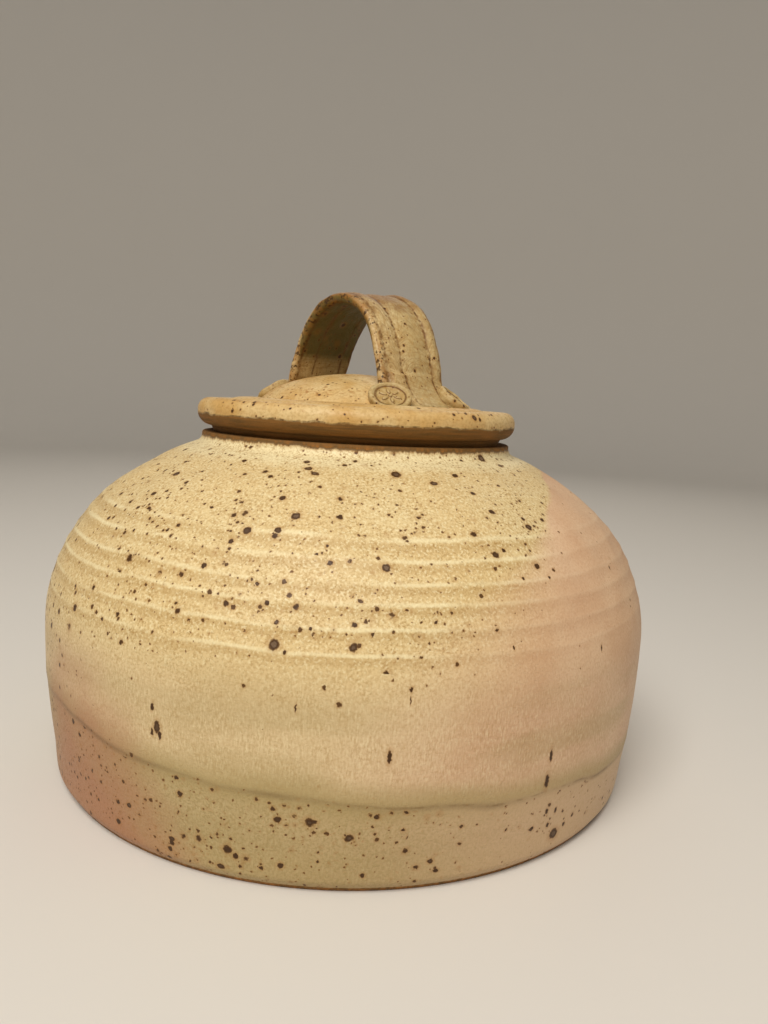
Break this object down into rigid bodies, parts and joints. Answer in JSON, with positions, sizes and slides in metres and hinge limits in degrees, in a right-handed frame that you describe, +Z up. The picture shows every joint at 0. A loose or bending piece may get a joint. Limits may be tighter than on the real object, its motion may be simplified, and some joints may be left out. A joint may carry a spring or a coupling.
{
  "type": "stoneware bean pot",
  "caption": "Squat round stoneware pot with a domed shoulder, a flanged lift-off lid and a clay strap handle arched over the lid.",
  "frame": {"origin": "centre of the foot ring's resting plane, on the axis of the pot", "axes": "+Z up along the pot's axis, +X along the span of the strap handle"},
  "size_m": [0.24, 0.24, 0.1886],
  "materials": {
    "pot_glaze": "satin",
    "lid_glaze": "satin",
    "handle_glaze": "satin"
  },
  "bodies": {
    "pot": {"pot_body": "pot_glaze"},
    "lid": {"lid": "lid_glaze", "strap_handle": "handle_glaze", "handle_pad_right_front": "handle_glaze", "handle_pad_right_back": "handle_glaze", "handle_pad_left_front": "handle_glaze", "handle_pad_left_back": "handle_glaze"}
  },
  "joints": [
    {"name": "lid_lift", "type": "slide", "parent": "pot", "child": "lid", "axis": [0, 0, 1], "range_m": [0, 0.15]}
  ]
}
